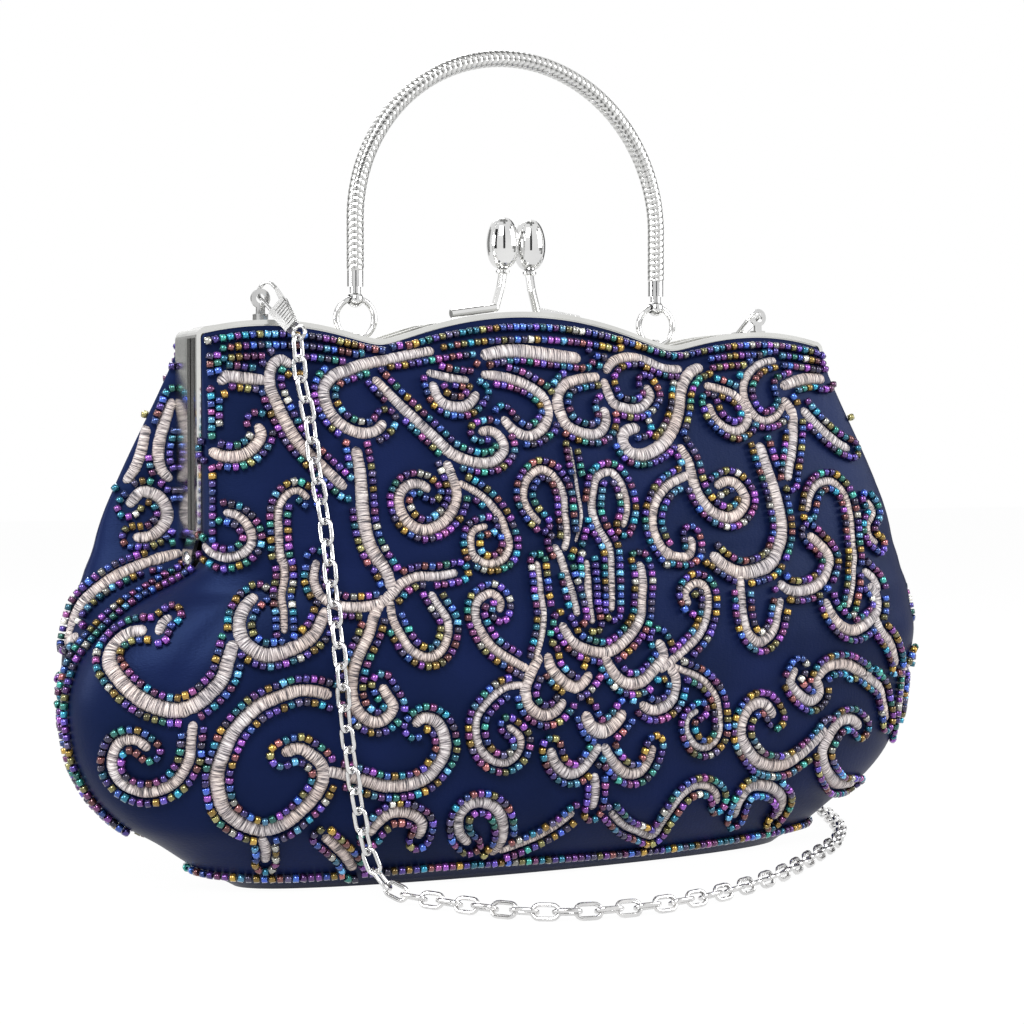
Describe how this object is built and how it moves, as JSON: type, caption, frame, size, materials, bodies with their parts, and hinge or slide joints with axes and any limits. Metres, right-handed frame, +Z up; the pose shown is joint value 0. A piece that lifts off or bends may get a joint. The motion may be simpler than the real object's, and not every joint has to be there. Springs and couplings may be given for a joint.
{
  "type": "evening clutch",
  "caption": "Embroidered satin pouch on a hinged metal kiss-lock frame, with a snake-chain top handle on swinging rings and a cable-chain strap on snap hooks.",
  "frame": {"origin": "middle of the base, on the surface the bag stands on", "axes": "+X along the frame towards the right end seen from the front, +Y from the front panel to the rear panel, +Z up"},
  "size_m": [0.27, 0.1377, 0.24],
  "materials": {
    "frame_metal": "polished",
    "handle_metal": "polished",
    "strap_metal": "polished",
    "core_steel": "satin",
    "navy_satin": "satin",
    "embroidery_thread": "satin",
    "seed_beads": "polished",
    "lining_cloth": "satin",
    "stiffener": "matte"
  },
  "bodies": {
    "root": {"rear_frame": "frame_metal", "left_hinge_rivet": "frame_metal", "right_hinge_rivet": "frame_metal", "rear_knob": "frame_metal", "rear_knob_post": "frame_metal", "right_strap_lug": "strap_metal", "left_ring_staple": "frame_metal", "right_ring_staple": "frame_metal", "right_hook": "strap_metal", "right_hook_sleeve": "strap_metal", "right_gate_pin": "strap_metal", "right_hook_eye": "strap_metal", "strap_chain_front": "strap_metal", "strap_chain_floor": "strap_metal", "strap_chain_rear": "strap_metal", "front_panel": "navy_satin", "rear_panel": "navy_satin", "base_panel": "navy_satin", "base_board": "stiffener", "front_lining": "lining_cloth", "rear_lining": "lining_cloth", "lining_floor": "lining_cloth", "slip_pocket": "lining_cloth"},
    "front_half": {"front_frame": "frame_metal", "front_knob": "frame_metal", "front_knob_post": "frame_metal", "left_strap_lug": "strap_metal", "left_hook": "strap_metal", "left_hook_sleeve": "strap_metal", "left_gate_pin": "strap_metal", "left_hook_eye": "strap_metal"},
    "left_ring": {"left_ring": "handle_metal"},
    "right_ring": {"right_ring": "handle_metal"},
    "handle": {"left_eyelet": "handle_metal", "right_eyelet": "handle_metal", "left_ferrule": "handle_metal", "right_ferrule": "handle_metal", "snake_chain": "handle_metal", "handle_core": "core_steel"},
    "left_gate": {"left_hook_gate": "strap_metal"},
    "right_gate": {"right_hook_gate": "strap_metal"}
  },
  "joints": [
    {"name": "front_half_hinge", "type": "hinge", "parent": "root", "child": "front_half", "pos_m": [0, 0, 0.0915], "axis": [1, 0, 0], "range_deg": [0, 50], "deforming": ["front_panel", "front_lining", "strap_chain_front"]},
    {"name": "left_ring_swing", "type": "hinge", "parent": "root", "child": "left_ring", "pos_m": [-0.0493, 0.004, 0.15372], "axis": [1, 0, 0], "range_deg": [-60, 60]},
    {"name": "right_ring_swing", "type": "hinge", "parent": "root", "child": "right_ring", "pos_m": [0.0493, 0.004, 0.15372], "axis": [1, 0, 0], "range_deg": [-60, 60]},
    {"name": "handle_swing", "type": "hinge", "parent": "left_ring", "child": "handle", "pos_m": [-0.0493, 0.004, 0.16547], "axis": [1, 0, 0], "range_deg": [-60, 60]},
    {"name": "left_gate_swing", "type": "hinge", "parent": "front_half", "child": "left_gate", "pos_m": [-0.07668, -0.01253, 0.16249], "axis": [-0.8056, -0.5098, 0.3018], "range_deg": [0, 25], "stiffness_Nm_per_rad": 0.002, "springref_deg": -17.19},
    {"name": "right_gate_swing", "type": "hinge", "parent": "root", "child": "right_gate", "pos_m": [0.08598, 0.0131, 0.15814], "axis": [0.3285, -0.5509, -0.7672], "range_deg": [0, 25], "stiffness_Nm_per_rad": 0.002, "springref_deg": -17.19}
  ],
  "couplings": [
    {"joint": "right_ring_swing", "follows": "left_ring_swing", "ratio": 1}
  ]
}
